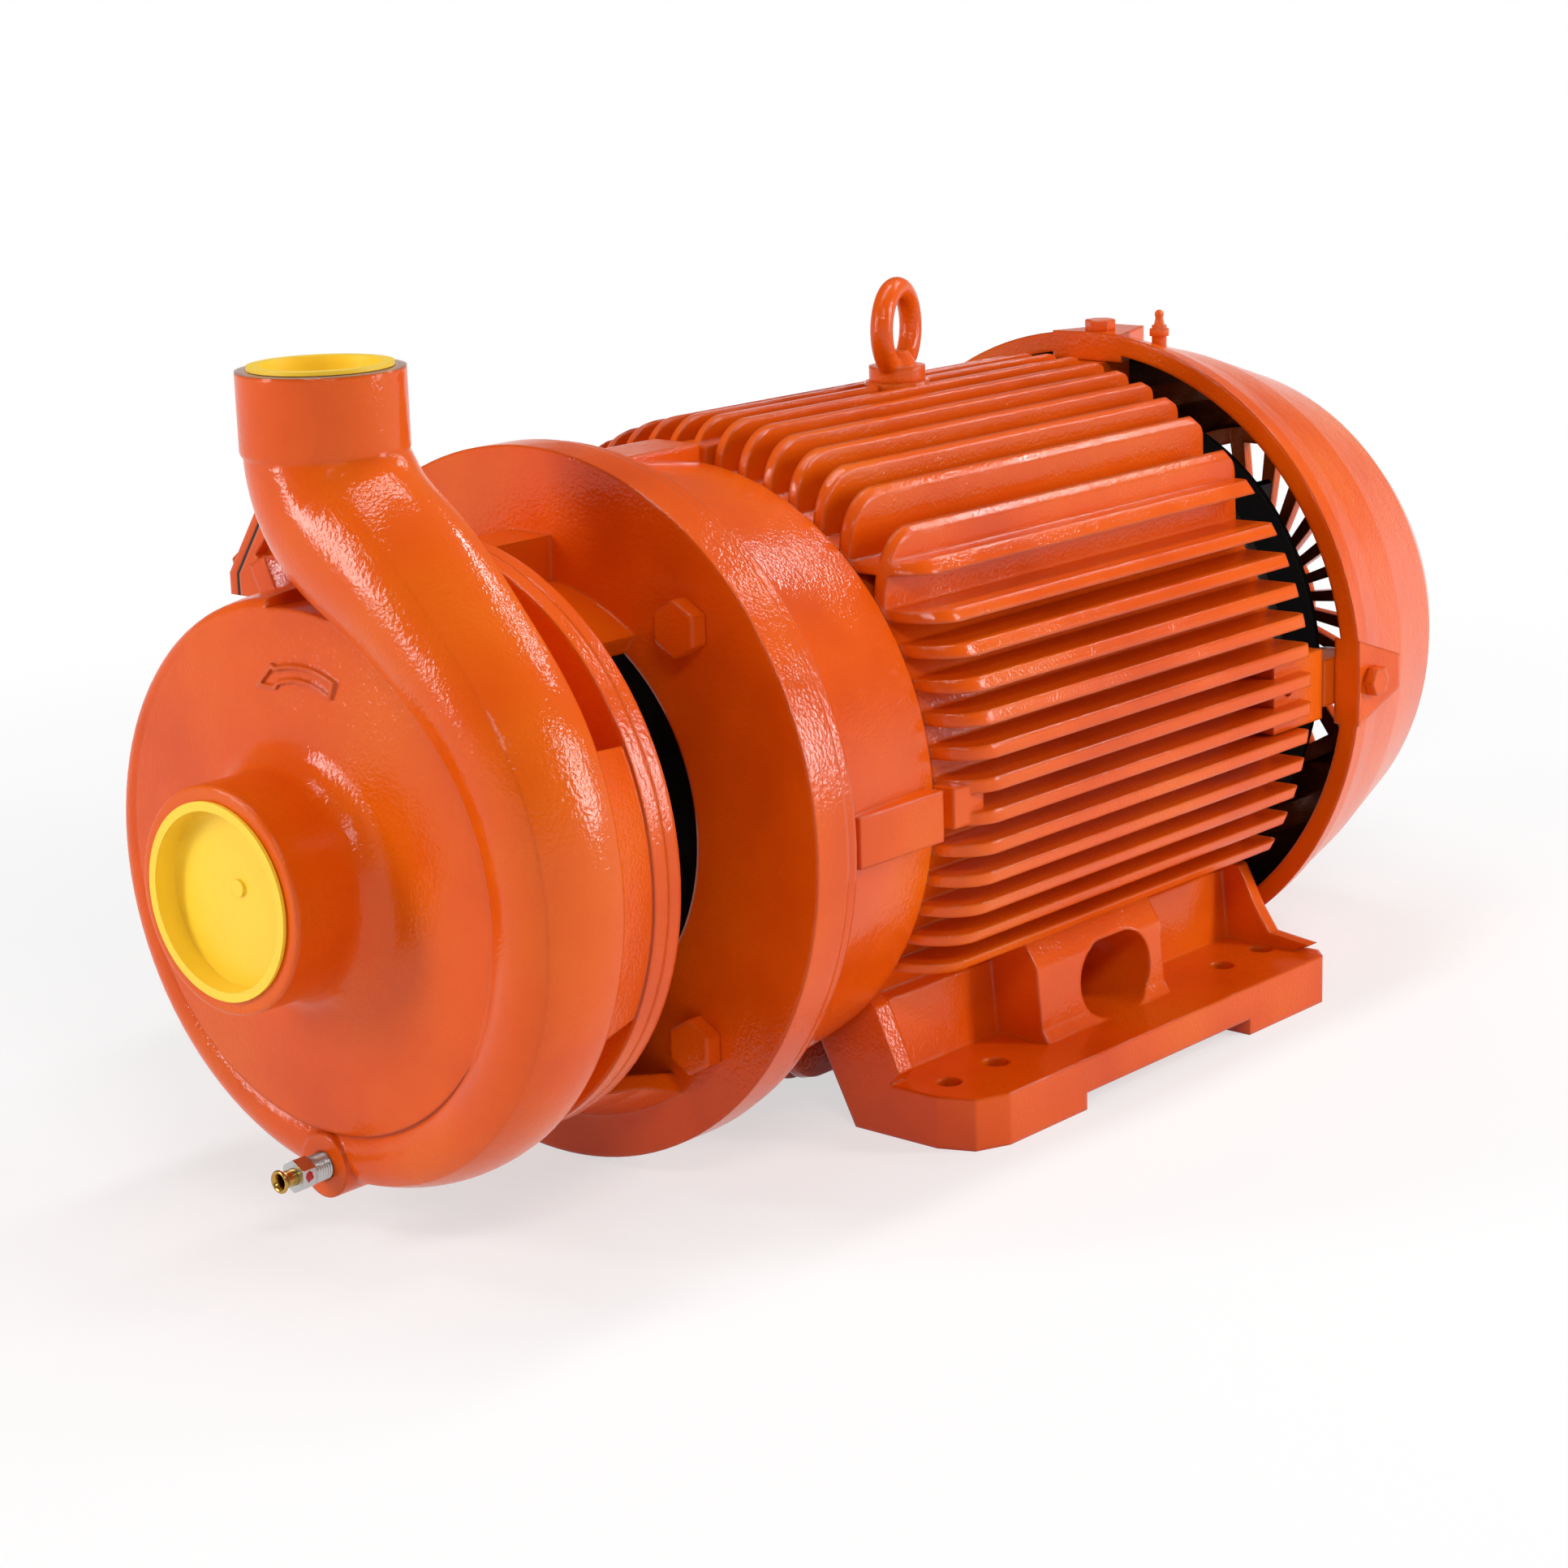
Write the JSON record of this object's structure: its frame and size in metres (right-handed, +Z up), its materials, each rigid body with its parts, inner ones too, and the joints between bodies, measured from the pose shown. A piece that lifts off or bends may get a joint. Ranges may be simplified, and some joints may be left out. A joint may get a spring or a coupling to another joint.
{
  "type": "centrifugal pump",
  "caption": "Close-coupled centrifugal pump: cast volute with swan-neck discharge, bolted by a bracket to a finned, foot-mounted electric motor.",
  "frame": {"origin": "centre of the foot bolt pattern, on the plane the feet stand on", "axes": "-X along the shaft towards the suction port, +Z up along the discharge, +Y towards the terminal box"},
  "size_m": [0.8313, 0.477, 0.4077],
  "materials": {
    "orange_enamel": "glossy enamel over sand-cast iron",
    "yellow_polyethylene": "moulded, satin",
    "zinc_plate": "zinc plated",
    "brass": "turned, bright",
    "bronze": "turned",
    "grey_iron": "as cast",
    "black_rubber": "matt",
    "winding_copper": "varnished",
    "lamination_steel": "oiled laminations",
    "black_plastic": "moulded",
    "seal_ceramic": "lapped",
    "bright_steel": "ground"
  },
  "bodies": {
    "stator": {"bearing_cap_screws": "bright_steel", "bracket": "orange_enamel", "bracket_bolts": "orange_enamel", "casing_bolts": "orange_enamel", "casing_gasket": "black_rubber", "conduit_hub": "orange_enamel", "cover_screws": "orange_enamel", "cowl_bolts": "orange_enamel", "drain_nipple": "zinc_plate", "drain_nozzle": "brass", "drain_nut": "zinc_plate", "drive_bearing_outer_ring": "bright_steel", "drive_endshield": "orange_enamel", "endshield_bolts": "orange_enamel", "eyebolt": "orange_enamel", "fan_bearing_outer_ring": "bright_steel", "fan_cowl": "orange_enamel", "fan_endshield": "orange_enamel", "grease_nipple": "orange_enamel", "inner_bearing_cap": "grey_iron", "motor_frame": "orange_enamel", "seal_plate": "grey_iron", "seal_seat": "seal_ceramic", "stator_core": "lamination_steel", "stator_windings": "winding_copper", "terminal_block": "black_plastic", "terminal_box": "orange_enamel", "terminal_cover": "orange_enamel", "terminal_gasket": "black_rubber", "volute_casing": "orange_enamel", "wave_spring": "bright_steel", "wear_ring": "bronze"},
    "rotor": {"cooling_fan": "black_plastic", "drive_bearing_balls": "bright_steel", "drive_bearing_inner_ring": "bright_steel", "fan_bearing_balls": "bright_steel", "fan_bearing_inner_ring": "bright_steel", "fan_clip": "bright_steel", "impeller": "grey_iron", "impeller_key": "bright_steel", "impeller_screw": "bright_steel", "impeller_washer": "bright_steel", "rotor_core": "lamination_steel", "seal_head": "bright_steel", "seal_spring": "bright_steel", "shaft": "bright_steel", "slinger": "black_rubber"},
    "suction_cap": {"suction_cap": "yellow_polyethylene"},
    "discharge_cap": {"discharge_cap": "yellow_polyethylene"}
  },
  "joints": [
    {"name": "shaft_spin", "type": "hinge", "parent": "stator", "child": "rotor", "pos_m": [-0.2767, 0, 0.1778], "axis": [1, 0, 0], "continuous": true},
    {"name": "suction_cap_pull", "type": "slide", "parent": "stator", "child": "suction_cap", "axis": [-1, 0, 0], "range_m": [0, 0.06]},
    {"name": "discharge_cap_pull", "type": "slide", "parent": "stator", "child": "discharge_cap", "axis": [0, 0, 1], "range_m": [0, 0.06]}
  ]
}
